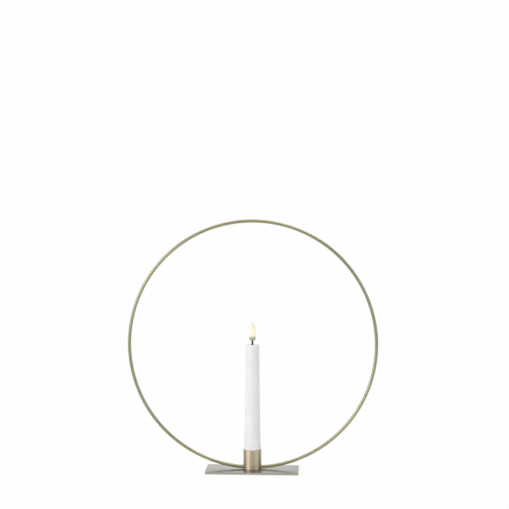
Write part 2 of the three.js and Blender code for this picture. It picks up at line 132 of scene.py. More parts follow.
def mixed(tree, factor, first, second):
    """The first colour where the factor is 0, and the second where it is 1."""
    inputs = {"Factor": factor}
    for socket, colour in (("A", first), ("B", second)):
        inputs[socket] = colour if isinstance(colour, bpy.types.NodeSocket) else (*colour, 1)
    return add(tree, "ShaderNodeMix", inputs, data_type="RGBA").outputs["Result"]


def place_on_piece(tree):
    """The place on the piece in metres, which stays with the piece when its body moves."""
    return add(tree, "ShaderNodeTexCoord").outputs["Object"]


def noise_on(tree, place, scale, detail, roughness=0.5):
    inputs = {"Vector": place, "Scale": scale, "Detail": detail, "Roughness": roughness}
    return add(tree, "ShaderNodeTexNoise", inputs).outputs["Fac"]


def new_group(name, inputs, outputs):
    """Starts a shader node group. Returns its tree, what it is given, and where its results go."""
    tree = bpy.data.node_groups.new(name, "ShaderNodeTree")
    for label, value in inputs.items():
        kind = "NodeSocketVector" if isinstance(value, tuple) else "NodeSocketFloat"
        tree.interface.new_socket(label, in_out="INPUT", socket_type=kind).default_value = value
    for label in outputs:
        tree.interface.new_socket(label, in_out="OUTPUT", socket_type="NodeSocketFloat")
    return tree, tree.nodes.new("NodeGroupInput").outputs, tree.nodes.new("NodeGroupOutput").inputs


def use_group(tree, group, inputs):
    return add(tree, "ShaderNodeGroup", inputs, node_tree=group).outputs


# %% [markdown]
# Fine grain
#
# Plating, moulded plastic and wax all have a surface that is nearly, but not quite, smooth. One group
# serves them all. It reads the place on the piece, stretches it, and gives two results: a height for the
# bump, and a slow tone that shifts the colour or the roughness a little from place to place. Noise is the
# natural choice here, because nothing in these surfaces repeats.

# %% Grain group

GRAIN_ROUGHNESS = 0.55


def grain_group():
    sizes = {"Grain Size": 0.4 * MM, "Tone Size": 25 * MM, "Stretch": (1, 1, 1)}
    tree, given, result = new_group("surface_grain", sizes, ["Height", "Tone"])
    inputs = {0: place_on_piece(tree), 1: given["Stretch"]}
    stretched = add(tree, "ShaderNodeVectorMath", inputs, operation="DIVIDE").outputs[0]
    for label, size, detail in (("Height", "Grain Size", 3.0), ("Tone", "Tone Size", 2.0)):
        scale = calculate(tree, "DIVIDE", 1.0, given[size])
        tree.links.new(noise_on(tree, stretched, scale, detail, GRAIN_ROUGHNESS), result[label])
    return tree


GRAIN = grain_group()
print("Group", GRAIN.name, "has", len(GRAIN.nodes), "nodes")

# %% [markdown]
# Worn edges
#
# Plating is thinnest on corners, and hands polish them first, so a metal edge is a little brighter and
# smoother than the face beside it. Cycles measures how convex the surface is and calls it pointiness.
# The group turns that into a mask and breaks it up with noise, so that the wear isn't an even line.

# %% Edge wear group

WORN_FROM = 0.52
WORN_FULLY = 0.60
WEAR_PATCH = 2.5 * MM


def edge_group():
    tree, given, result = new_group("edge_wear", {"Start": WORN_FROM, "Full": WORN_FULLY}, ["Mask"])
    pointiness = add(tree, "ShaderNodeNewGeometry").outputs["Pointiness"]
    mask = rising(tree, pointiness, given["Start"], given["Full"])
    patches = noise_on(tree, place_on_piece(tree), 1 / WEAR_PATCH, 2.0)
    tree.links.new(calculate(tree, "MULTIPLY", mask, patches), result["Mask"])
    return tree


EDGE_WEAR = edge_group()
print("Group", EDGE_WEAR.name, "has", len(EDGE_WEAR.nodes), "nodes")

# %% [markdown]
# Handling marks
#
# A satin surface shows where it was touched: faint smudges that are a little rougher than the rest. Two
# noises are multiplied, a broad one that says where hands go and a finer one that gives the smudge its
# streaks. The mask feeds roughness alone, because a smudge on metal changes its gloss and not its colour.

# %% Handling marks group

STREAKS_IN_MARK = 7.0
MARKED_FROM = 0.5
MARKED_FULLY = 0.68


def marks_group():
    tree, given, result = new_group("handling_marks", {"Size": 18 * MM, "Amount": 1.0}, ["Mask"])
    place = place_on_piece(tree)
    scale = calculate(tree, "DIVIDE", 1.0, given["Size"])
    fine = calculate(tree, "MULTIPLY", scale, STREAKS_IN_MARK)
    where = rising(tree, noise_on(tree, place, scale, 1.0), MARKED_FROM, MARKED_FULLY)
    smudge = calculate(tree, "MULTIPLY", where, noise_on(tree, place, fine, 4.0))
    tree.links.new(calculate(tree, "MULTIPLY", smudge, given["Amount"]), result["Mask"])
    return tree


HANDLING_MARKS = marks_group()
print("Group", HANDLING_MARKS.name, "has", len(HANDLING_MARKS.nodes), "nodes")

# %% [markdown]
# Finishes
#
# Most pieces need the same recipe with other values: a colour that drifts slightly, a roughness that
# drifts with it, and a fine bump. `surface` is that recipe. Each finish below is a call to it with the
# values of the real material, and the few finishes that need more get their own function.

# %% Surface recipe

GLOSS_DRIFT = 0.12


def shader_of(material):
    return material.node_tree.nodes["Principled BSDF"]


def feed(material, socket, source):
    """Links a source to one of the shader's sockets, in place of what was there."""
    material.node_tree.links.new(source, shader_of(material).inputs[socket])


def fed_by(material, socket):
    """What feeds one of the shader's sockets now."""
    return shader_of(material).inputs[socket].links[0].from_socket


def set_plain(material, values):
    """Gives sockets of the shader one plain value each."""
    for socket, value in values.items():
        shader_of(material).inputs[socket].default_value = value


def start_material(name):
    material = bpy.data.materials.new(name)
    material.use_nodes = True
    return material


def surface(
    name, colour, roughness, metallic=0.0, drift=0.06, grain=0.4, tone=25, stretch=(1, 1, 1), bump=0.02
):
    """A finish with a drifting colour and roughness. Grain, tone and bump are in millimetres."""
    material = start_material(name)
    tree = material.node_tree
    sizes = {"Grain Size": grain * MM, "Tone Size": tone * MM, "Stretch": stretch}
    texture = use_group(tree, GRAIN, sizes)
    darker = [channel * (1 - drift) for channel in colour]
    lighter = [min(1, channel * (1 + drift)) for channel in colour]
    feed(material, "Base Color", mixed(tree, texture["Tone"], darker, lighter))
    smoothest, roughest = roughness * (1 - GLOSS_DRIFT), roughness * (1 + GLOSS_DRIFT)
    gloss = {"Value": texture["Tone"], "To Min": smoothest, "To Max": roughest}
    feed(material, "Roughness", add(tree, "ShaderNodeMapRange", gloss).outputs[0])
    relief = {"Height": texture["Height"], "Distance": bump * MM, "Strength": 1.0}
    feed(material, "Normal", add(tree, "ShaderNodeBump", relief).outputs[0])
    set_plain(material, {"Metallic": metallic})
    return material


# %% [markdown]
# Champagne plating
#
# The hoop, the cup and the plate are steel with a satin plating between brass and nickel. A metal has no
# colour of its own under the reflection: its base colour tints what it mirrors. Champagne is a dark,
# slightly olive tint, and it looks pale only because a white studio surrounds it. Edges are worn
# brighter, and smudges dull the gloss.
#
# Turned metal is finished along one direction. Its fine lines smear a reflection across them, which a
# shader calls anisotropy: on the cup, a softbox becomes an upright band from foot to rim. The tangent
# says which way the lines run. A sheet is brushed along its length, so the plate's grain is stretched.

# %% Champagne metal

# The cup, the rod and the plate are one plating. Each tone is set to how light or dark that piece shows under
# these lamps, so the cup's lighter tone is partly painted light and the rod's darker one partly painted
# shade.
CHAMPAGNE_CUP = (0.52, 0.455, 0.333)
CHAMPAGNE_ROD = (0.368, 0.348, 0.218)
CHAMPAGNE_PLATE = (0.39, 0.376, 0.335)
WORN_SHARE = 1.35
MARKS_AMOUNT = 0.12
QUARTER_TURN = 0.25


def champagne_metal(name, colour, roughness, grain, stretch=(1, 1, 1)):
    plating = {"metallic": 1.0, "drift": 0.05, "tone": 30, "bump": 0.005}
    material = surface(name, colour, roughness, grain=grain, stretch=stretch, **plating)
    tree = material.node_tree
    wear = use_group(tree, EDGE_WEAR, {"Start": WORN_FROM, "Full": WORN_FULLY})
    worn = [channel * WORN_SHARE for channel in colour]
    feed(material, "Base Color", mixed(tree, wear["Mask"], fed_by(material, "Base Color"), worn))
    marks = use_group(tree, HANDLING_MARKS, {"Amount": MARKS_AMOUNT})
    feed(material, "Roughness", calculate(tree, "ADD", fed_by(material, "Roughness"), marks["Mask"]))
    return material


def brushed(material, amount):
    """Fine lines around the upright axis, which smear reflections up and down."""
    around = add(material.node_tree, "ShaderNodeTangent", direction_type="RADIAL", axis="Z")
    feed(material, "Tangent", around.outputs["Tangent"])
    set_plain(material, {"Anisotropic": amount, "Anisotropic Rotation": QUARTER_TURN})
    return material


PLATE_METAL = champagne_metal("champagne_plate", CHAMPAGNE_PLATE, 0.26, 0.35, stretch=(12, 1, 1))
CUP_METAL = brushed(champagne_metal("champagne_cup", CHAMPAGNE_CUP, 0.42, 0.3, stretch=(6, 6, 1)), 0.8)
ROD_METAL = champagne_metal("champagne_rod", CHAMPAGNE_ROD, 0.33, 0.35)
print("Champagne finishes:", PLATE_METAL.name, CUP_METAL.name, ROD_METAL.name)

# %% [markdown]
# Wax
#
# Real wax lets light in a little way and scatters it, which softens the shading from lit to dark.
# Subsurface scattering does that. The colour is a near-white with a faint bloom, and the bump is low and
# broad, because the candle is dipped and its skin has gentle waves.

# %% Wax

WAX_WHITE = (0.82, 0.815, 0.80)
WAX_SCATTER = 2.0 * MM


def wax_material():
    waves = {"grain": 1.6, "tone": 14, "stretch": (1, 1, 2.5), "bump": 0.05}
    material = surface("dipped_wax", WAX_WHITE, 0.50, drift=0.025, **waves)
    set_plain(material, {
        "Subsurface Weight": 0.35,
        "Subsurface Radius": (1.0, 0.9, 0.75),
        "Subsurface Scale": WAX_SCATTER,
        "Coat Weight": 0.08,
        "Coat Roughness": 0.35,
    })
    return material


WAX = wax_material()
print("Wax scatters", WAX_SCATTER / MM, "mm deep")

# %% [markdown]
# The lit flame
#
# The flame is a drop of translucent silicone with an LED inside. It passes light from behind, glows most
# around the LED, and is darker and mottled at its foot, where the sleeve fills it. That light is painted
# here: the glow is a painted emission colour that follows the height on the piece, so it stays with the
# flame wherever it is moved or viewed from. Its dark foot and its specks are painted shade for the dark
# sleeve and parts inside seen through the silicone. The specks are noise that fades out above the foot.

# %% Flame finish

FLAME_LOW, FLAME_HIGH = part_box("flame")
FLAME_SKIN = (0.60, 0.57, 0.52)
FLAME_PAINTED_GLOW = (
    (0.00, (0.02, 0.015, 0.01)),
    (0.12, (0.10, 0.09, 0.08)),
    (0.22, (0.31, 0.29, 0.20)),
    (0.40, (0.43, 0.42, 0.28)),
    (0.70, (0.32, 0.30, 0.25)),
    (1.00, (0.32, 0.30, 0.28)),
)
SPECK_SIZE = 1.6 * MM
SPECK_FROM = 0.46
SPECK_FULLY = 0.58
SPECK_PAINTED_SHADE = (0.30, 0.27, 0.22)
SPECKS_FULL = 0.14
SPECKS_END = 0.24
UNLIT = (0.0, 0.0, 0.0)


def share_along(tree, axis, low, high):
    """A factor that rises from 0 to 1 between two places along an axis of the piece."""
    parts = add(tree, "ShaderNodeSeparateXYZ", {0: place_on_piece(tree)}).outputs
    return rising(tree, parts[axis], low, high)


def ramp(tree, factor, stops):
    """A colour ramp with the given (position, colour) stops."""
    made = add(tree, "ShaderNodeValToRGB", {"Fac": factor})
    elements = made.color_ramp.elements
    for position, colour in stops[1:-1]:
        elements.new(position).color = (*colour, 1)
    elements[0].color = (*stops[0][1], 1)
    elements[-1].color = (*stops[-1][1], 1)
    return made.outputs["Color"]


def painted_foot_specks(tree, factor):
    """Painted dark specks around the flame's foot: painted shade for the parts inside seen through the
    silicone.
    """
    patches = noise_on(tree, place_on_piece(tree), 1 / SPECK_SIZE, 1.0)
    specks = rising(tree, patches, SPECK_FROM, SPECK_FULLY)
    return calculate(tree, "MULTIPLY", specks, rising(tree, factor, SPECKS_END, SPECKS_FULL))


def flame_material():
    material = surface("flame_silicone", FLAME_SKIN, 0.34, drift=0.05, grain=0.8, tone=4)
    tree = material.node_tree
    factor = share_along(tree, "Z", FLAME_LOW.z, FLAME_HIGH.z)
    # The emission is painted glow. The specks take it away and darken the skin there, as painted shade.
    specks = painted_foot_specks(tree, factor)
    feed(material, "Emission Color", mixed(tree, specks, ramp(tree, factor, FLAME_PAINTED_GLOW), UNLIT))
    feed(material, "Base Color", mixed(tree, specks, fed_by(material, "Base Color"), SPECK_PAINTED_SHADE))
    set_plain(material, {
        "Emission Strength": 1.0,
        "Transmission Weight": 0.15,
        "Subsurface Weight": 0.4,
        "Subsurface Radius": (1.0, 0.8, 0.5),
        "Subsurface Scale": 1.5 * MM,
        "IOR": 1.41,
    })
    return material


FLAME = flame_material()
print("The flame is", round((FLAME_HIGH.z - FLAME_LOW.z) / MM, 1), "mm tall")

# %% [markdown]
# The small finishes
#
# The rest are plastics, foam, nickel and the inner pieces, which show when the candle is lifted off its
# battery carrier. Each is the same recipe with other values, and a grain of 0.3 mm unless it needs
# another. The cells wear a plain sleeve, silver grey with a dark band at the button's end.

# %% Small finishes

BAND_FROM = 0.72
BAND_BLUE = (0.03, 0.05, 0.09)


def small_finish(name, colour, roughness, drift, tone, bump, grain=0.3, **more):
    return surface(name, colour, roughness, drift=drift, grain=grain, tone=tone, bump=bump, **more)


def wick_material():
    threads = {"grain": 0.25, "stretch": (1, 1, 4)}
    material = small_finish("wick_black", (0.003, 0.003, 0.003), 0.9, drift=0.3, tone=2, bump=0.04, **threads)
    set_plain(material, {"Specular IOR Level": 0.15})
    return material


WICK_BLACK = wick_material()
PAD_FOAM = small_finish("pad_foam", (0.035, 0.035, 0.035), 0.95, drift=0.2, tone=4, bump=0.08)
WHITE_PLASTIC = small_finish("white_plastic", (0.78, 0.775, 0.75), 0.42, drift=0.02, tone=12, bump=0.008)
BLACK_PLASTIC = small_finish(
    "black_plastic", (0.012, 0.012, 0.013), 0.45, drift=0.15, tone=4, bump=0.01, grain=0.25
)
NICKEL = small_finish(
    "contact_nickel", (0.70, 0.67, 0.62), 0.22, drift=0.04, tone=6, bump=0.003, metallic=1.0
)
ZINC = small_finish("zinc_steel", (0.58, 0.58, 0.57), 0.30, drift=0.06, tone=5, bump=0.004, metallic=1.0)
BOARD_GREEN = small_finish("solder_mask", (0.03, 0.13, 0.05), 0.35, drift=0.12, tone=5, bump=0.006, grain=0.5)
RESISTOR_TAN = small_finish("resistor_tan", (0.45, 0.27, 0.12), 0.4, drift=0.1, tone=2, bump=0.01)
RED_WIRE = small_finish("red_insulation", (0.42, 0.02, 0.015), 0.4, drift=0.08, tone=3, bump=0.006)
STRIP_WHITE = small_finish("led_strip_mask", (0.75, 0.72, 0.62), 0.4, drift=0.05, tone=3, bump=0.005)


def led_material():
    material = small_finish("led_phosphor", (1.0, 0.8, 0.35), 0.3, drift=0.08, tone=1, bump=0.004, grain=0.2)
    feed(material, "Emission Color", fed_by(material, "Base Color"))
    set_plain(material, {"Emission Strength": 1.2})
    return material


def battery_material(low, high):
    can = {"drift": 0.04, "tone": 8, "bump": 0.004, "metallic": 0.6}
    material = small_finish("battery_sleeve", (0.36, 0.37, 0.38), 0.33, **can)
    tree = material.node_tree
    band = calculate(tree, "GREATER_THAN", share_along(tree, "Z", low, high), BAND_FROM)
    feed(material, "Base Color", mixed(tree, band, fed_by(material, "Base Color"), BAND_BLUE))
    return material


LED_GLOW = led_material()
print("Finishes so far:", len(bpy.data.materials))

# %% [markdown]
# Turned parts
#
# Most pieces here are made on a lathe: draw half of the section, and turn it about the axis. Blender's
# screw modifier can do it, but a direct build gives clean rings and exact sizes. Real turned edges are
# never sharp, so the profile is eased first: each corner names how far from itself the edge starts to
# turn, and a short curve replaces it. Light catches such an edge, and that is much of what makes metal
# look real.

# %% Mesh helpers

EASE_STEPS = 4
SMOOTH_BELOW = math.radians(38)
MERGE_DISTANCE = 1e-7
ON_AXIS = 1e-9


def smooth_by_angle(mesh):
    """Smooth shading, with hard edges where two faces meet at more than a gentle angle."""
    mesh.shade_smooth()
    build = bmesh.new()
    build.from_mesh(mesh)
    for edge in build.edges:
        if len(edge.link_faces) == 2:
            edge.smooth = edge.calc_face_angle(0) < SMOOTH_BELOW
    build.to_mesh(mesh)
    build.free()


def link_mesh(name, vertices, faces):
    mesh = bpy.data.meshes.new(name)
    mesh.from_pydata(vertices, [], faces)
    build = bmesh.new()
    build.from_mesh(mesh)
    bmesh.ops.remove_doubles(build, verts=build.verts, dist=MERGE_DISTANCE)
    bmesh.ops.recalc_face_normals(build, faces=build.faces)
    build.to_mesh(mesh)
    build.free()
    smooth_by_angle(mesh)
    made = bpy.data.objects.new(name, mesh)
    bpy.context.scene.collection.objects.link(made)
    return made


def prism(name, ends):
    """A solid between two equal outlines, whose vertices follow each other in the list."""
    count = len(ends) // 2
    faces = [list(range(count)), list(range(count, 2 * count))]
    faces += [[k, (k + 1) % count, (k + 1) % count + count, k + count] for k in range(count)]
    return link_mesh(name, ends, faces)


def moved(piece, x, y):
    """Moves the vertices and not the object, whose origin stays at the frame's."""
    shift = Vector((x, y, 0))
    for vertex in piece.data.vertices:
        vertex.co += shift
    return piece


# %% Lathe helpers


def eased(corners, closed=False):
    """Turns (radius, height, ease) corners into profile points, easing each by a short curve."""
    points = []
    last = len(corners) - 1
    for i, (radius, height, ease) in enumerate(corners):
        here = Vector((radius, height))
        if ease == 0 or (not closed and i in (0, last)):
            points.append(here)
            continue
        before = Vector(corners[i - 1][:2])
        after = Vector(corners[(i + 1) % len(corners)][:2])
        start = here + (before - here).normalized() * ease
        end = here + (after - here).normalized() * ease
        for k in range(EASE_STEPS + 1):
            t = k / EASE_STEPS
            points.append(start * (1 - t) ** 2 + here * 2 * t * (1 - t) + end * t**2)
    return points


def turned(name, profile, sides, closed=False, ripple=None):
    """A solid turned about Z. An open profile starts and ends on the axis, a closed one makes a ring."""
    rings = []
    vertices = []
    for radius, height in profile:
        if radius < ON_AXIS:
            rings.append([len(vertices)] * sides)
            vertices.append((0, 0, height))
            continue
        rings.append(list(range(len(vertices), len(vertices) + sides)))
        for k in range(sides):
            angle = 2 * math.pi * k / sides
            reach = radius + (ripple(angle, height) if ripple else 0)
            vertices.append((reach * math.cos(angle), reach * math.sin(angle), height))
    pairs = list(zip(rings, rings[1:]))
    if closed:
        pairs.append((rings[-1], rings[0]))
    faces = []
    for lower, upper in pairs:
        for k in range(sides):
            after = (k + 1) % sides
            corners = [lower[k], lower[after], upper[after], upper[k]]
            faces.append(list(dict.fromkeys(corners)))
    return link_mesh(name, vertices, [face for face in faces if len(face) > 2])


def lathe(name, corners, sides, closed=False):
    return turned(name, eased(corners, closed), sides, closed)


def disc(name, radius, low, high, sides, eases=(0, 0)):
    """A disc, a pin or a cutter for a round hole. The eases are of its lower and its upper rim."""
    corners = [(0, low, 0), (radius, low, eases[0]), (radius, high, eases[1]), (0, high, 0)]
    return lathe(name, corners, sides)


# %% [markdown]
# Bent rod, cuts and names
#
# A rod, a wire and a lead are the same form: a circle that follows a path. The sweep turns its circle
# just enough to follow each bend, so that it doesn't twist. Holes and notches are cut as on the real
# parts, by taking a cutter's shape away. At the end each piece says what it is: the body that it moves
# with, the node of the imported model that it stands for, and its finish.

# %% Sweep, cut and dress


def swept(name, centres, radius, sides):
    """A round tube along a list of centres, with flat ends."""
    vertices = []
    tangent = (centres[1] - centres[0]).normalized()
    side = tangent.orthogonal().normalized()
    for i, centre in enumerate(centres):
        ahead = centres[min(i + 1, len(centres) - 1)] - centres[max(i - 1, 0)]
        turn = tangent.rotation_difference(ahead)
        tangent = ahead.normalized()
        side = (turn @ side).normalized()
        other = tangent.cross(side)
        for k in range(sides):
            angle = 2 * math.pi * k / sides
            vertices.append(centre + radius * (math.cos(angle) * side + math.sin(angle) * other))
    faces = []
    for ring in range(len(centres) - 1):
        for k in range(sides):
            a, b = ring * sides + k, ring * sides + (k + 1) % sides
            faces.append([a, b, b + sides, a + sides])
    faces.append(list(range(sides)))
    faces.append([len(vertices) - 1 - k for k in range(sides)])
    return link_mesh(name, vertices, faces)


def cut_out(piece, cutters, operation="DIFFERENCE"):
    """Cuts other pieces out of one, or joins them to it, and removes them."""
    for cutter in cutters:
        boolean = piece.modifiers.new("cut", "BOOLEAN")
        boolean.object = cutter
        boolean.operation = operation
        boolean.solver = "EXACT"
    bpy.context.view_layer.update()
    graph = bpy.context.evaluated_depsgraph_get()
    cut = bpy.data.meshes.new_from_object(piece.evaluated_get(graph))
    piece.modifiers.clear()
    piece.data = cut
    smooth_by_angle(cut)
    for cutter in cutters:
        bpy.data.objects.remove(cutter)
    return piece


def bevelled(piece, width, segments):
    """Breaks a piece's sharp edges with a modifier, so that its mesh stays as it is."""
    rims = piece.modifiers.new("broken_edges", "BEVEL")
    rims.width = width
    rims.segments = segments
    rims.limit_method = "ANGLE"


def finish_with(piece, material):
    piece.data.materials.clear()
    piece.data.materials.append(material)


def dress(piece, body, node, material):
    """Says what a new piece is: the body it moves with, the node it stands for and finish."""
    finish_with(piece, material)
    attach(piece, body)
    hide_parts(node)
    size = [round(side / MM, 1) for side in piece.dimensions]
    print(f"{piece.name}: {len(piece.data.polygons)} faces, {size} mm")
    return piece


# %% [markdown]
# The base plate
#
# A flat piece of 3 mm steel, cut to size, with its edges broken so that they don't cut the hand. It could
# be a cube scaled flat, but then the edge would be a knife edge. Here a rounded outline is built and
# raised, and a bevel eases the two long rims. A countersunk hole is cut through it for the screw.

# %% Base plate

PLATE_LOW, PLATE_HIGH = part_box("base_plate")
PLATE_CORNER = 1.2 * MM
PLATE_EDGE = 0.3 * MM
CORNER_STEPS = 6
CORNERS = ((1, 1, 0), (-1, 1, 90), (-1, -1, 180), (1, -1, 270))
SCREW_LOW, SCREW_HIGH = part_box("cup_screw")
SCREW_SHANK = 2 * MM
SCREW_TAPER = 2 * MM
SCREW_CLEARANCE = 0.2 * MM
SCREW_HOLE = SCREW_SHANK + SCREW_CLEARANCE


def base_plate():
    vertices = []
    centre_x = PLATE_HIGH.x - PLATE_CORNER
    centre_y = PLATE_HIGH.y - PLATE_CORNER
    for height in (PLATE_LOW.z, PLATE_HIGH.z):
        for sign_x, sign_y, start in CORNERS:
            for k in range(CORNER_STEPS + 1):
                angle = math.radians(start + 90 * k / CORNER_STEPS)
                x = sign_x * centre_x + PLATE_CORNER * math.cos(angle)
                y = sign_y * centre_y + PLATE_CORNER * math.sin(angle)
                vertices.append((x, y, height))
    plate = prism("plate", vertices)
    bevelled(plate, PLATE_EDGE, 3)
    head = SCREW_HIGH.x + SCREW_CLEARANCE
    hole = lathe("hole", [
        (0, PLATE_LOW.z - MM, 0),
        (head, PLATE_LOW.z - MM, 0),
        (head, SCREW_LOW.z, 0),
        (SCREW_HOLE, SCREW_LOW.z + SCREW_TAPER, 0),
        (SCREW_HOLE, PLATE_HIGH.z + MM, 0),
        (0, PLATE_HIGH.z + MM, 0),
    ], sides=48)
    return cut_out(plate, [hole])


dress(base_plate(), "holder", "base_plate", PLATE_METAL)

# %% [markdown]
# The pads
#
# Four discs of foam keep the steel off the table. They are hidden in use, but a viewer may turn the
# object over. A die cuts them, so their rim is square with a trace of give at the edge.

# %% Pads

PAD_EASE = 0.2 * MM


def pad(name):
    low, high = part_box(name)
    radius = (high.x - low.x) / 2
    middle = (low + high) / 2
    eases = (PAD_EASE, PAD_EASE / 2)
    foam = disc(name.replace("pad", "foam"), radius, low.z, high.z, sides=40, eases=eases)
    return moved(foam, middle.x, middle.y)


for pad_name in ("pad_front_left", "pad_front_right", "pad_back_left", "pad_back_right"):
    dress(pad(pad_name), "holder", pad_name, PAD_FOAM)

# %% [markdown]
# The screw
#
# A countersunk screw with a hexagon socket, seen only from below. Its head is turned, and a six-sided
# cutter makes the socket.

# %% Screw

KEY_WIDTH = 2.5 * MM
KEY_DEPTH = 1.4 * MM


def cup_screw():
    body = lathe("clamp_screw", [
        (0, SCREW_LOW.z, 0),
        (SCREW_HIGH.x, SCREW_LOW.z, 0.15 * MM),
        (SCREW_SHANK, SCREW_LOW.z + SCREW_TAPER, 0.2 * MM),
        (SCREW_SHANK, SCREW_HIGH.z, 0.3 * MM),
        (0, SCREW_HIGH.z, 0),
    ], sides=48)
    socket = disc("socket", KEY_WIDTH / math.sqrt(3), SCREW_LOW.z - MM, SCREW_LOW.z + KEY_DEPTH, sides=6)
    return cut_out(body, [socket])


dress(cup_screw(), "holder", "cup_screw", ZINC)

# %% [markdown]
# The hoop
#
# One length of round rod, rolled to a circle. Its two ends stop inside the cup's foot, so from outside
# the ring looks whole. A torus would be the quick way, but it can't be open at the bottom. The rod is
# swept along an arc instead, with enough steps that the outline stays round in a close view.

# %% Hoop

HOOP_LOW, HOOP_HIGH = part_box("hoop")
ROD_RADIUS = (HOOP_HIGH.y - HOOP_LOW.y) / 2
HOOP_STEPS = 360
HOOP_END = 5 * MM


def hoop():
    radius = (HOOP_HIGH.x - HOOP_LOW.x) / 2 - ROD_RADIUS
    centre = HOOP_HIGH.z - ROD_RADIUS - radius
    first = math.asin(HOOP_END / radius)
    centres = []
    for k in range(HOOP_STEPS + 1):
        angle = first + (2 * math.pi - 2 * first) * k / HOOP_STEPS
        centres.append(Vector((radius * math.sin(angle), 0, centre - radius * math.cos(angle))))
    return swept("hoop_rod", centres, ROD_RADIUS, sides=32)


dress(hoop(), "holder", "hoop", ROD_METAL)

# %% [markdown]
# The cup
#
# Turned from bar: a thin wall above, a solid foot below, and a small round on the rim. Two notches let
# the hoop's ends in. The notch is cut the way a milling cutter would cut it, with a round top, by taking
# a rod-shaped cutter out of the foot. The rod climbs a little on its way out of the cup, so the notch is
# taller than the rod by that rise.

# %% Cup

CUP_LOW, CUP_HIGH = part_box("cup")
BORE = 11.8 * MM
BORE_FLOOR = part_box("bottom_cap")[0].z
FOOT_BEVEL = 0.6 * MM
RIM_EASE = 0.32 * MM
NOTCH_CLEARANCE = 0.15 * MM
NOTCH_RISE = 0.6 * MM
NOTCH_STEP = 12
SLIP_GAP = 0.2 * MM
SCREW_HOLE_DEPTH = 5.7 * MM


def notch_cutter(side):
    width = ROD_RADIUS + NOTCH_CLEARANCE
    crown = CUP_LOW.z + ROD_RADIUS + NOTCH_RISE
    outline = []
    for degrees in range(0, 181, NOTCH_STEP):
        angle = math.radians(degrees)
        outline.append((width * math.cos(angle), crown + width * math.sin(angle)))
    outline += [(-width, CUP_LOW.z - MM), (width, CUP_LOW.z - MM)]
    near = side * (HOOP_END - SLIP_GAP)
    far = side * (CUP_HIGH.x + MM)
    return prism("notch", [(x, y, z) for x in (near, far) for y, z in outline])


def cup():
    outer = CUP_HIGH.x
    body = lathe("socket_cup", [
        (0, CUP_LOW.z, 0),
        (outer - FOOT_BEVEL, CUP_LOW.z, 0.2 * MM),
        (outer, CUP_LOW.z + FOOT_BEVEL, 0.3 * MM),
        (outer, CUP_HIGH.z, RIM_EASE),
        (BORE, CUP_HIGH.z, RIM_EASE),
        (BORE, BORE_FLOOR, 0.4 * MM),
        (0, BORE_FLOOR, 0),
    ], sides=128)
    hole = disc("screw_hole", SCREW_HOLE, CUP_LOW.z - MM, CUP_LOW.z + SCREW_HOLE_DEPTH, sides=32)
    return cut_out(body, [notch_cutter(-1), notch_cutter(1), hole])


dress(cup(), "holder", "cup", CUP_METAL)

# %% [markdown]
# The wax shell
#
# A hollow taper, dipped or cast over a plastic tube. It stands straight in the cup and narrows evenly to
# the top, where the shoulder is soft and the top is a shallow dish, as if some wax had melted. A turned
# shape alone looks machined, so a ripple moves each ring by a few hundredths of a millimetre.

# %% Wax shell

WAX_LOW, WAX_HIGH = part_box("wax_shell")
TUBE_LOW, TUBE_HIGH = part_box("inner_tube")
TAPER_TOP = 9.25 * MM
TAPER_START = CUP_HIGH.z + MM
SHOULDER_DROP = 0.35 * MM
SHOULDER_WIDTH = 2.2 * MM
DISH_SHARE = 0.45
DISH_DEPTH = 0.7 * MM
RING_SPACING = 4 * MM
RIPPLE = 0.05 * MM
RIPPLE_HEIGHT = 9 * MM
RIPPLE_WAVES = 1.3
RIPPLE_INWARD = 0.35
RIPPLE_FADE = 10 * MM
WICK_RADIUS = 1.2 * MM


def wax_ripple(angle, height):
    """A low, broad wave in the skin, none of it where the wax stands in the cup."""
    rise = min(1, max(0, (height - TAPER_START) / RIPPLE_FADE))
    place = Vector((math.cos(angle), math.sin(angle), height / RIPPLE_HEIGHT))
    return rise * RIPPLE * (noise.noise(place * RIPPLE_WAVES) - RIPPLE_INWARD)


def wax_shell():
    bore = TUBE_HIGH.x + SLIP_GAP
    wick_hole = WICK_RADIUS + SLIP_GAP
    ceiling = TUBE_HIGH.z + SLIP_GAP
    dish = WAX_HIGH.z - DISH_DEPTH
    outside = eased([
        (bore, WAX_LOW.z, 0),
        (WAX_HIGH.x, WAX_LOW.z, 0.5 * MM),
        (WAX_HIGH.x, TAPER_START, 6 * MM),
        (TAPER_TOP, WAX_HIGH.z, 1.3 * MM),
        (TAPER_TOP - SHOULDER_WIDTH, WAX_HIGH.z - SHOULDER_DROP, 0.9 * MM),
        (TAPER_TOP * DISH_SHARE, dish, 1.2 * MM),
        (wick_hole, dish, 0.15 * MM),
        (wick_hole, ceiling, 0),
    ])
    taper = []
    for before, after in zip(outside, outside[1:]):
        rings = max(1, int((after - before).length / RING_SPACING))
        taper += [before.lerp(after, k / rings) for k in range(rings)]
    profile = taper + [outside[-1], Vector((bore, ceiling))]
    return turned("wax_taper", profile, sides=96, closed=True, ripple=wax_ripple)


dress(wax_shell(), "candle_top", "wax_shell", WAX)

# %% [markdown]
# The wick
#
# The wick is a plain black sleeve, and the LED's strip runs up through it. It has a flange that is
# trapped under the tube's top. It is turned as a ring, because it is open from end to end.

# %% Wick

WICK_LOW, WICK_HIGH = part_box("wick")
WICK_BORE = WICK_RADIUS - 0.35 * MM
FLANGE_TOP = WICK_LOW.z + 1.2 * MM


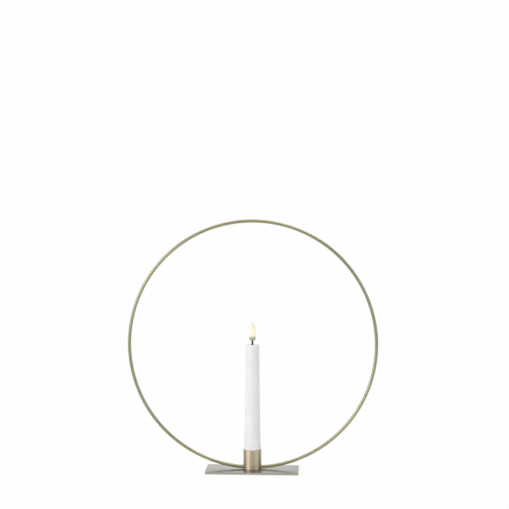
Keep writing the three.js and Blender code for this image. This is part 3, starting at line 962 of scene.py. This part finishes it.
def wick():
    return lathe("wick_sleeve", [
        (WICK_BORE, WICK_LOW.z, 0),
        (WICK_HIGH.x, WICK_LOW.z, 0.2 * MM),
        (WICK_HIGH.x, FLANGE_TOP, 0.2 * MM),
        (WICK_RADIUS, FLANGE_TOP, 0.1 * MM),
        (WICK_RADIUS, WICK_HIGH.z, 0.1 * MM),
        (WICK_BORE, WICK_HIGH.z, 0.05 * MM),
    ], sides=40, closed=True)


dress(wick(), "candle_top", "wick", WICK_BLACK)

# %% [markdown]
# The flame
#
# The flame is a drop: blunt at the foot, widest at two fifths of its height, and then drawn in quickly to
# a point. Two Bezier curves give its outline, with their handles written as shares of its radius and its
# height. It is hollow below, where the sleeve and the LED go in.

# %% Flame

FOOT_WIDTH = 0.98
BELLY_HEIGHT = 0.06
WIDEST_HEIGHT = 0.4
SHOULDER_HEIGHT = 0.78
NECK_WIDTH = 0.58
NECK_HEIGHT = 0.86


def bezier(points, steps):
    """Points on a cubic Bezier curve, without the first."""
    a, b, c, d = (Vector(p) for p in points)
    made = []
    for k in range(1, steps + 1):
        t = k / steps
        made.append(a * (1 - t) ** 3 + b * 3 * t * (1 - t) ** 2 + c * 3 * t**2 * (1 - t) + d * t**3)
    return made


def flame():
    low, tall, radius = FLAME_LOW.z, FLAME_HIGH.z - FLAME_LOW.z, FLAME_HIGH.x
    bore = WICK_RADIUS + 0.15 * MM
    bore_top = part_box("led_strip")[1].z + SLIP_GAP
    foot = (bore + 0.35 * MM, low)
    widest = (radius, low + WIDEST_HEIGHT * tall)
    belly = (radius, low + BELLY_HEIGHT * tall)
    shoulder = (radius, low + SHOULDER_HEIGHT * tall)
    neck = (NECK_WIDTH * radius, low + NECK_HEIGHT * tall)
    outline = bezier([foot, (FOOT_WIDTH * radius, low), belly, widest], steps=20)
    outline += bezier([widest, shoulder, neck, (0, FLAME_HIGH.z)], steps=32)
    inside = [Vector((0, bore_top)), Vector((bore, bore_top)), Vector((bore, low)), Vector(foot)]
    return turned("flame_drop", inside + outline, sides=64)


dress(flame(), "candle_top", "flame", FLAME)

# %% [markdown]
# The cells
#
# Two plain cells in line. A cell is a can with a printed sleeve shrunk over it: the sleeve curls over
# each end, and the button stands out of the top. It is turned like the rest.

# %% Cells

BUTTON_RADIUS = 1.8 * MM
BUTTON_HEIGHT = 0.9 * MM
SLEEVE_CURL = 1.1 * MM
SLEEVE_STEP = 0.2 * MM


def battery(name):
    low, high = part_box(name)
    radius = high.x
    shoulder = high.z - BUTTON_HEIGHT
    can_top = shoulder - SLEEVE_STEP
    return lathe(name.replace("battery", "cell"), [
        (0, low.z, 0),
        (radius, low.z, 0.5 * MM),
        (radius, shoulder, 0.5 * MM),
        (radius - SLEEVE_CURL, shoulder, 0.1 * MM),
        (radius - SLEEVE_CURL - SLEEVE_STEP, can_top, 0.1 * MM),
        (BUTTON_RADIUS, can_top, 0),
        (BUTTON_RADIUS, high.z, 0.25 * MM),
        (0, high.z, 0),
    ], sides=64)


for cell_name in ("battery_lower", "battery_upper"):
    cell_low, cell_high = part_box(cell_name)
    sleeve = battery_material(cell_low.z, cell_high.z)
    dress(battery(cell_name), "battery_base", cell_name, sleeve)

# %% [markdown]
# The cap
#
# The cap and the carrier show when the candle is pulled off its cells. Moulded plastic has no sharp
# edges, and its openings have round corners, because the mould is cut with a round tool. So both are
# turned with eased edges, and each opening is cut with a block whose own edges are rounded first. An
# opening's sizes are half its width, then the places of its front and its back across the candle.

# %% Rounded cutter


def rounded_block(name, half_width, front, back, bottom, top, radius):
    """A block across the middle of the candle, with its edges rounded."""
    across = (-half_width, half_width)
    corners = [(x, y, z) for x in across for y in (front, back) for z in (bottom, top)]
    faces = [[0, 1, 3, 2], [4, 6, 7, 5], [0, 4, 5, 1], [2, 3, 7, 6], [0, 2, 6, 4], [1, 5, 7, 3]]
    block = link_mesh(name, corners, faces)
    build = bmesh.new()
    build.from_mesh(block.data)
    bmesh.ops.bevel(build, geom=build.edges[:], offset=radius, segments=4, profile=0.5, affect="EDGES")
    build.to_mesh(block.data)
    build.free()
    return block


# %% Bottom cap

CAP_LOW, CAP_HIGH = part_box("bottom_cap")
CARRIER_LOW, CARRIER_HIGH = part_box("battery_carrier")
CAP_RECESS = 8 * MM
CAP_RECESS_DEPTH = 2 * MM
CAP_FLOOR = 1.5 * MM
SPIGOT = 5.25 * MM
SPIGOT_WALL = 1.1 * MM
KNOB_SLOT = (2.75 * MM, -0.95 * MM, 0.95 * MM)
KNOB_SLOT_EDGE = 0.4 * MM


def bottom_cap():
    floor_bottom = CAP_LOW.z + CAP_RECESS_DEPTH
    floor_top = floor_bottom + CAP_FLOOR
    shoulder = CARRIER_LOW.z
    spigot_bore = SPIGOT - SPIGOT_WALL
    cap = lathe("cap_moulding", [
        (0, floor_bottom, 0),
        (CAP_RECESS, floor_bottom, 0.4 * MM),
        (CAP_RECESS, CAP_LOW.z, 0.3 * MM),
        (CAP_HIGH.x, CAP_LOW.z, 0.6 * MM),
        (CAP_HIGH.x, shoulder, 0.3 * MM),
        (SPIGOT, shoulder, 0.2 * MM),
        (SPIGOT, CAP_HIGH.z, 0.35 * MM),
        (spigot_bore, CAP_HIGH.z, 0.2 * MM),
        (spigot_bore, floor_top, 0.3 * MM),
        (0, floor_top, 0),
    ], sides=96)
    slot = rounded_block("slot", *KNOB_SLOT, CAP_LOW.z, shoulder, KNOB_SLOT_EDGE)
    return cut_out(cap, [slot])


dress(bottom_cap(), "battery_base", "bottom_cap", WHITE_PLASTIC)

# %% [markdown]
# The carrier
#
# A tube with a floor for the spring's plate. Its front is open, so that the cells can be changed, and a
# groove down its back holds the contact strip, which turns in under the floor through a slot.

# %% Battery carrier

CARRIER_WALL = 1.05 * MM
CARRIER_FLOOR = 0.9 * MM
STACK_GAP = 0.15 * MM
OPENING = (9 * MM, -9 * MM, -1.5 * MM)
OPENING_MARGIN = 4 * MM
OPENING_EDGE = 2.4 * MM
GROOVE = (1.7 * MM, 5.8 * MM, 7.5 * MM)
FOOT_SLOT = (1.7 * MM, MM, 7.5 * MM)
TOOL_EDGE = 0.1 * MM


def battery_carrier():
    outer = CARRIER_HIGH.x
    bore = outer - CARRIER_WALL
    top = CARRIER_HIGH.z
    floor_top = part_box("spring_plate")[0].z - STACK_GAP
    floor_bottom = floor_top - CARRIER_FLOOR
    groove_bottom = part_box("contact_strip")[0].z - SLIP_GAP
    carrier = lathe("cell_cradle", [
        (0, floor_bottom, 0),
        (bore, floor_bottom, 0.2 * MM),
        (bore, CARRIER_LOW.z, 0.2 * MM),
        (outer, CARRIER_LOW.z, 0.2 * MM),
        (outer, top, 0.3 * MM),
        (bore, top, 0.2 * MM),
        (bore, floor_top, 0.3 * MM),
        (0, floor_top, 0),
    ], sides=96)
    opening_ends = (floor_top + OPENING_MARGIN, top - OPENING_MARGIN)
    opening = rounded_block("opening", *OPENING, *opening_ends, OPENING_EDGE)
    groove = rounded_block("groove", *GROOVE, groove_bottom, top + MM, TOOL_EDGE)
    foot_slot = rounded_block("foot_slot", *FOOT_SLOT, groove_bottom, floor_bottom + TOOL_EDGE, TOOL_EDGE)
    return cut_out(carrier, [opening, groove, foot_slot])


dress(battery_carrier(), "battery_base", "battery_carrier", WHITE_PLASTIC)

# %% [markdown]
# Spring and spring plate
#
# The spring is wound as a cone, so that its turns can lie inside each other when a cell presses it flat.
# A spiral needs no modelling by hand: the wire is swept along a formula. Its plate is a stamped disc.

# %% Spring and plate

SPRING_LOW, SPRING_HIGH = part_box("battery_spring")
SPRING_WIRE = 0.35 * MM
SPRING_BASE = 3.65 * MM
SPRING_TIP = 1.95 * MM
SPRING_TURNS = 4
STEPS_PER_TURN = 36
PLATE_BURR = 0.12 * MM


def spring():
    steps = SPRING_TURNS * STEPS_PER_TURN
    rise = SPRING_HIGH.z - SPRING_LOW.z - 2 * SPRING_WIRE
    centres = []
    for k in range(steps + 1):
        t = k / steps
        angle = 2 * math.pi * SPRING_TURNS * t
        around = SPRING_BASE + (SPRING_TIP - SPRING_BASE) * t
        height = SPRING_LOW.z + SPRING_WIRE + rise * t
        centres.append(Vector((around * math.cos(angle), around * math.sin(angle), height)))
    return swept("conical_spring", centres, SPRING_WIRE, sides=12)


def spring_plate():
    low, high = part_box("spring_plate")
    return disc("seat_plate", high.x, low.z, high.z, sides=64, eases=(PLATE_BURR, PLATE_BURR / 2))


dress(spring(), "battery_base", "battery_spring", NICKEL)
dress(spring_plate(), "battery_base", "spring_plate", NICKEL)

# %% [markdown]
# The liner
#
# The liner is a long capped tube inside the wax, with a hole in its cap for the wick. It is turned as a
# ring, like the wick.

# %% Liner tube

TUBE_BORE = TUBE_HIGH.x - 0.9 * MM
TUBE_CEILING = TUBE_HIGH.z - 1.5 * MM


def liner_tube():
    hole = WICK_RADIUS + SLIP_GAP
    return lathe("liner_tube", [
        (TUBE_BORE, TUBE_LOW.z, 0.15 * MM),
        (TUBE_HIGH.x, TUBE_LOW.z, 0.25 * MM),
        (TUBE_HIGH.x, TUBE_HIGH.z, 0.5 * MM),
        (hole, TUBE_HIGH.z, 0.1 * MM),
        (hole, TUBE_CEILING, 0.1 * MM),
        (TUBE_BORE, TUBE_CEILING, 0.4 * MM),
    ], sides=72, closed=True)


dress(liner_tube(), "candle_top", "inner_tube", WHITE_PLASTIC)

# %% [markdown]
# The disc and its contacts
#
# A disc across the liner carries two contacts: a pad that meets the upper cell's button, and a ring that
# meets the strip wherever the candle is turned. Each contact is stamped metal with a pin through the
# disc, so its two forms are joined into one.

# %% Disc and contacts

PIN_RADIUS = 0.4 * MM
PIN_PLACES = {"positive_contact": (0, -5 / 3 * MM), "negative_contact": (4.8 * MM, 0)}
PIN_EASE = 0.1 * MM
BRIDGE_EASE = 0.3 * MM
BOARD_SLOT = (4.65 * MM, 0.25 * MM, 1.55 * MM)
BOARD_SLOT_DEPTH = 1.2 * MM
BUTTON_PAD_THICKNESS = MM
RING_WIDTH = 1.9 * MM
RING_THICKNESS = 0.3 * MM
STAMPED_EDGE = 0.08 * MM


def upright_pin(name, place, radius, low, high):
    """A round pin at a place across the candle, or a cutter for its hole."""
    return moved(disc(name, radius, low, high, sides=24, eases=(0, PIN_EASE)), *place)


def contact_disc():
    low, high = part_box("contact_disc")
    bridge = disc("contact_bridge", high.x, low.z, high.z, sides=72, eases=(BRIDGE_EASE, BRIDGE_EASE))
    slot_bottom = high.z - BOARD_SLOT_DEPTH
    cutters = [rounded_block("board_slot", *BOARD_SLOT, slot_bottom, high.z + MM, TOOL_EDGE)]
    for place in PIN_PLACES.values():
        cutters.append(upright_pin("pin_hole", place, PIN_RADIUS + STACK_GAP, low.z - MM, high.z + MM))
    return cut_out(bridge, cutters)


def contact(name, node, profile, closed):
    """A stamped contact with its pin. The profile is a function of the box's corners."""
    low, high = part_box(node)
    stamped = lathe(name, profile(low, high), sides=64, closed=closed)
    pin = upright_pin("pin", PIN_PLACES[node], PIN_RADIUS, low.z + 0.05 * MM, high.z)
    return cut_out(stamped, [pin], "UNION")


def button_pad(low, high):
    top = low.z + BUTTON_PAD_THICKNESS
    return [(0, low.z, 0), (high.x, low.z, 0.35 * MM), (high.x, top, 0.1 * MM), (0, top, 0)]


def strip_ring(low, high):
    inner, top = high.x - RING_WIDTH, low.z + RING_THICKNESS
    return [(inner, low.z, STAMPED_EDGE), (high.x, low.z, STAMPED_EDGE), (high.x, top, 0), (inner, top, 0)]


dress(contact_disc(), "candle_top", "contact_disc", WHITE_PLASTIC)
button_contact = contact("button_contact", "positive_contact", button_pad, closed=False)
dress(button_contact, "candle_top", "positive_contact", NICKEL)
ring_contact = contact("ring_contact", "negative_contact", strip_ring, closed=True)
dress(ring_contact, "candle_top", "negative_contact", NICKEL)

# %% [markdown]
# The leads
#
# Each lead is a short insulated wire from its pin to the board. It leaves the pin upright, swings across
# and meets the board squarely, which two Bezier curves give.

# %% Leads

BOARD_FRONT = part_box("circuit_board")[0].y - STACK_GAP
LEAD_RADIUS = 0.45 * MM
LEAD_SPREAD = 3 * MM
LEAD_RISE = Vector((0, 0, 2 * MM))
KNEE_OUT = 1.8 * MM
KNEE_RISE = 4.5 * MM
KNEE_SHARE = 0.3
TIP_RISE = 5.4 * MM


def lead(name, node, contact_node, board_x):
    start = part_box(node)[0].z
    foot = Vector((*PIN_PLACES[contact_node], start))
    knee = Vector((board_x, BOARD_FRONT - KNEE_OUT, start + KNEE_RISE))
    tip = Vector((board_x, BOARD_FRONT, start + TIP_RISE))
    centres = [foot]
    centres += bezier([foot, foot + LEAD_RISE, knee - LEAD_RISE, knee], steps=16)
    level = tip - Vector((0, KNEE_OUT / 2, 0))
    centres += bezier([knee, knee + LEAD_RISE * KNEE_SHARE, level, tip], steps=8)
    return swept(name, centres, LEAD_RADIUS, sides=16)


red_lead = lead("red_wire", "positive_lead", "positive_contact", -LEAD_SPREAD)
black_lead = lead("black_wire", "negative_lead", "negative_contact", LEAD_SPREAD)
dress(red_lead, "candle_top", "positive_lead", RED_WIRE)
dress(black_lead, "candle_top", "negative_lead", BLACK_PLASTIC)

# %% [markdown]
# The resistor
#
# The resistor is dipped in lacquer, so it is fatter at its ends, and it wears the coloured rings that
# every such part has. It is turned upright and then laid along the board. The rings are mixed into its
# lacquer, each where the share of its length comes near the ring's own.

# %% Resistor

RESISTOR_LOW, RESISTOR_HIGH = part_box("led_resistor")
CODE_RINGS = (
    (0.30, (0.35, 0.18, 0.02)),
    (0.45, (0.01, 0.01, 0.01)),
    (0.60, (0.20, 0.07, 0.02)),
    (0.80, (0.5, 0.4, 0.1)),
)
CODE_RING_WIDTH = 0.07
WAIST_SHARE = 0.82


def add_code_rings(material):
    tree = material.node_tree
    factor = share_along(tree, "X", RESISTOR_LOW.x, RESISTOR_HIGH.x)
    for middle, colour in CODE_RINGS:
        ring = calculate(tree, "COMPARE", factor, middle, CODE_RING_WIDTH / 2)
        feed(material, "Base Color", mixed(tree, ring, fed_by(material, "Base Color"), colour))
    return material


def resistor():
    half = (RESISTOR_HIGH.x - RESISTOR_LOW.x) / 2
    radius = (RESISTOR_HIGH.y - RESISTOR_LOW.y) / 2
    waist = radius * WAIST_SHARE
    body = lathe("lacquered_body", [
        (0, -half, 0),
        (radius, -half, 0.35 * MM),
        (radius, -0.6 * half, 0.15 * MM),
        (waist, -0.4 * half, 0.15 * MM),
        (waist, 0.4 * half, 0.15 * MM),
        (radius, 0.6 * half, 0.15 * MM),
        (radius, half, 0.35 * MM),
        (0, half, 0),
    ], sides=32)
    middle = (RESISTOR_LOW + RESISTOR_HIGH) / 2
    for vertex in body.data.vertices:
        x, y, z = vertex.co
        vertex.co = middle + Vector((z, y, -x))
    return body


dress(resistor(), "candle_top", "led_resistor", add_code_rings(RESISTOR_TAN))

# %% [markdown]
# Flat pieces from the frame
#
# The board, the strips, the chip and the switch are right as they come: flat and square. They keep their
# own meshes and take a finish, and a bevel modifier breaks their edges without touching the mesh.

# %% Carried-over nodes

CARRIED = {
    "slide_switch": (BLACK_PLASTIC, 0.12),
    "switch_knob": (BLACK_PLASTIC, 0.15),
    "contact_strip": (NICKEL, 0.05),
    "circuit_board": (BOARD_GREEN, 0.06),
    "flicker_chip": (BLACK_PLASTIC, 0.12),
    "led_strip": (STRIP_WHITE, 0.04),
    "led": (LED_GLOW, 0.1),
}

for node_name, (node_material, edge) in CARRIED.items():
    node_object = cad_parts[node_name]
    finish_with(node_object, node_material)
    bevelled(node_object, edge * MM, 2)
print("Carried over:", ", ".join(sorted(CARRIED)))

# %% [markdown]
# The sweep
#
# The floor and the backdrop are one white sweep, as in a real product studio. The camera, mirrors and
# clear pieces see it as plain white. The rest of its light comes from the lamps, so the floor still takes
# the object's shadow.

# %% Floor and backdrop

SWEEP_HALF_WIDTH = 1.1
SWEEP_FRONT = -1.0
SWEEP_BACK = 1.5
SWEEP_BEND = 0.4
SWEEP_TOP = 1.9
BEND_STEPS = 12
SHADOW_SHARE = 0.08
WHITE = (1, 1, 1, 1)


def sweep_material():
    """Plain white for camera, glossy and transmission rays, and a matt white floor for the rest."""
    material = start_material("studio_sweep")
    set_plain(material, {"Base Color": (0.9, 0.9, 0.9, 1), "Roughness": 0.9, "Specular IOR Level": 0.0})
    tree = material.node_tree
    path = add(tree, "ShaderNodeLightPath").outputs
    seen = calculate(tree, "MAXIMUM", path["Is Camera Ray"], path["Is Glossy Ray"])
    seen = calculate(tree, "MAXIMUM", seen, path["Is Transmission Ray"])
    share = calculate(tree, "MULTIPLY", seen, 1 - SHADOW_SHARE)
    white = add(tree, "ShaderNodeEmission", {"Color": WHITE, "Strength": 1.0}).outputs[0]
    blend = add(tree, "ShaderNodeMixShader", {0: share, 1: shader_of(material).outputs[0], 2: white})
    tree.links.new(blend.outputs[0], tree.nodes["Material Output"].inputs["Surface"])
    return material


def studio_sweep():
    section = [(SWEEP_FRONT, 0.0)]
    for k in range(BEND_STEPS + 1):
        angle = math.radians(90 * k / BEND_STEPS)
        y = SWEEP_BACK - SWEEP_BEND + SWEEP_BEND * math.sin(angle)
        section.append((y, SWEEP_BEND - SWEEP_BEND * math.cos(angle)))
    section.append((SWEEP_BACK, SWEEP_TOP))
    vertices = [(x, y, z) for y, z in section for x in (-SWEEP_HALF_WIDTH, SWEEP_HALF_WIDTH)]
    faces = [[2 * k, 2 * k + 1, 2 * k + 3, 2 * k + 2] for k in range(len(section) - 1)]
    sweep = link_mesh("studio_sweep", vertices, faces)
    finish_with(sweep, sweep_material())
    return sweep


backdrop = studio_sweep()
print("The backdrop is", round(backdrop.dimensions.x, 1), "m wide")

# %% [markdown]
# The room
#
# Beyond the sweep there is only the world's light. The camera sees it as white, so that the picture has
# no edge. Dull surfaces get a soft fill from it, and metal mirrors a dimmer room, which draws the dark
# sides of the cup. Light paths tell these three apart.

# %% World

ROOM_LIGHT = 0.3
ROOM_MIRRORED = 0.4
ROOM_SEEN = 0.985


def studio_world():
    world = bpy.data.worlds.new("studio_world")
    bpy.context.scene.world = world
    world.use_nodes = True
    tree = world.node_tree
    tree.nodes.clear()
    path = add(tree, "ShaderNodeLightPath").outputs
    seen = calculate(tree, "MAXIMUM", path["Is Camera Ray"], path["Is Transmission Ray"])
    lights = []
    for strength in (ROOM_LIGHT, ROOM_MIRRORED, ROOM_SEEN):
        light = add(tree, "ShaderNodeBackground", {"Color": WHITE, "Strength": strength})
        lights.append(light.outputs[0])
    room = add(tree, "ShaderNodeMixShader", {0: path["Is Glossy Ray"], 1: lights[0], 2: lights[1]})
    blend = add(tree, "ShaderNodeMixShader", {0: seen, 1: room.outputs[0], 2: lights[2]})
    add(tree, "ShaderNodeOutputWorld", {"Surface": blend.outputs[0]})
    return world


print("World:", studio_world().name)

# %% [markdown]
# The lamps
#
# Three softboxes stand side by side at the left and front. The metal mirrors them as one band that is
# brightest in its middle. A wide fill on the right keeps the candle's other side light, and a high lamp
# draws the hoop's top. The last three serve the other sides: a large weak one overhead gives the plate
# something pale to mirror, and two behind light the candle's back. A lamp's strength is written as
# radiance, which is how bright a mirror shows it, so its size can change without changing its look.

# %% Lamps

CANDLE_MIDDLE = Vector((0, 0, 0.12))


def softbox(name, around, distance, height, width, tall, radiance):
    """A soft lamp at an angle around the object in degrees, aimed at the candle. Sizes are in metres."""
    lamp = bpy.data.lights.new(name, "AREA")
    lamp.shape = "RECTANGLE"
    lamp.size = width
    lamp.size_y = tall
    lamp.energy = radiance * math.pi * width * tall
    box = bpy.data.objects.new(name, lamp)
    bpy.context.scene.collection.objects.link(box)
    turn = math.radians(around)
    box.location = (distance * math.sin(turn), -distance * math.cos(turn), height)
    box.rotation_euler = (CANDLE_MIDDLE - box.location).to_track_quat("-Z", "Y").to_euler()


softbox("key_softbox", -50, 1.7, 0.7, 0.75, 1.3, 3.3)
softbox("side_softbox", -75, 1.7, 0.7, 0.75, 1.3, 1.73)
softbox("front_card", -25, 1.7, 0.7, 0.75, 1.3, 0.8)
softbox("fill_softbox", 62, 1.7, 0.7, 1.5, 1.3, 1.16)
softbox("high_softbox", 30, 0.8, 1.7, 0.9, 0.9, 1.99)
softbox("top_softbox", 180, 0.1, 1.9, 2.4, 2.4, 0.6)
for back_angle in (145, 215):
    softbox(f"back_softbox_{back_angle}", back_angle, 1.2, 1.75, 0.8, 0.8, 2.0)

# %% [markdown]
# Colour management
#
# The Standard view shows a colour as it is written, which is what a product picture needs.

# %% Settings

bpy.context.scene.view_settings.view_transform = "Standard"
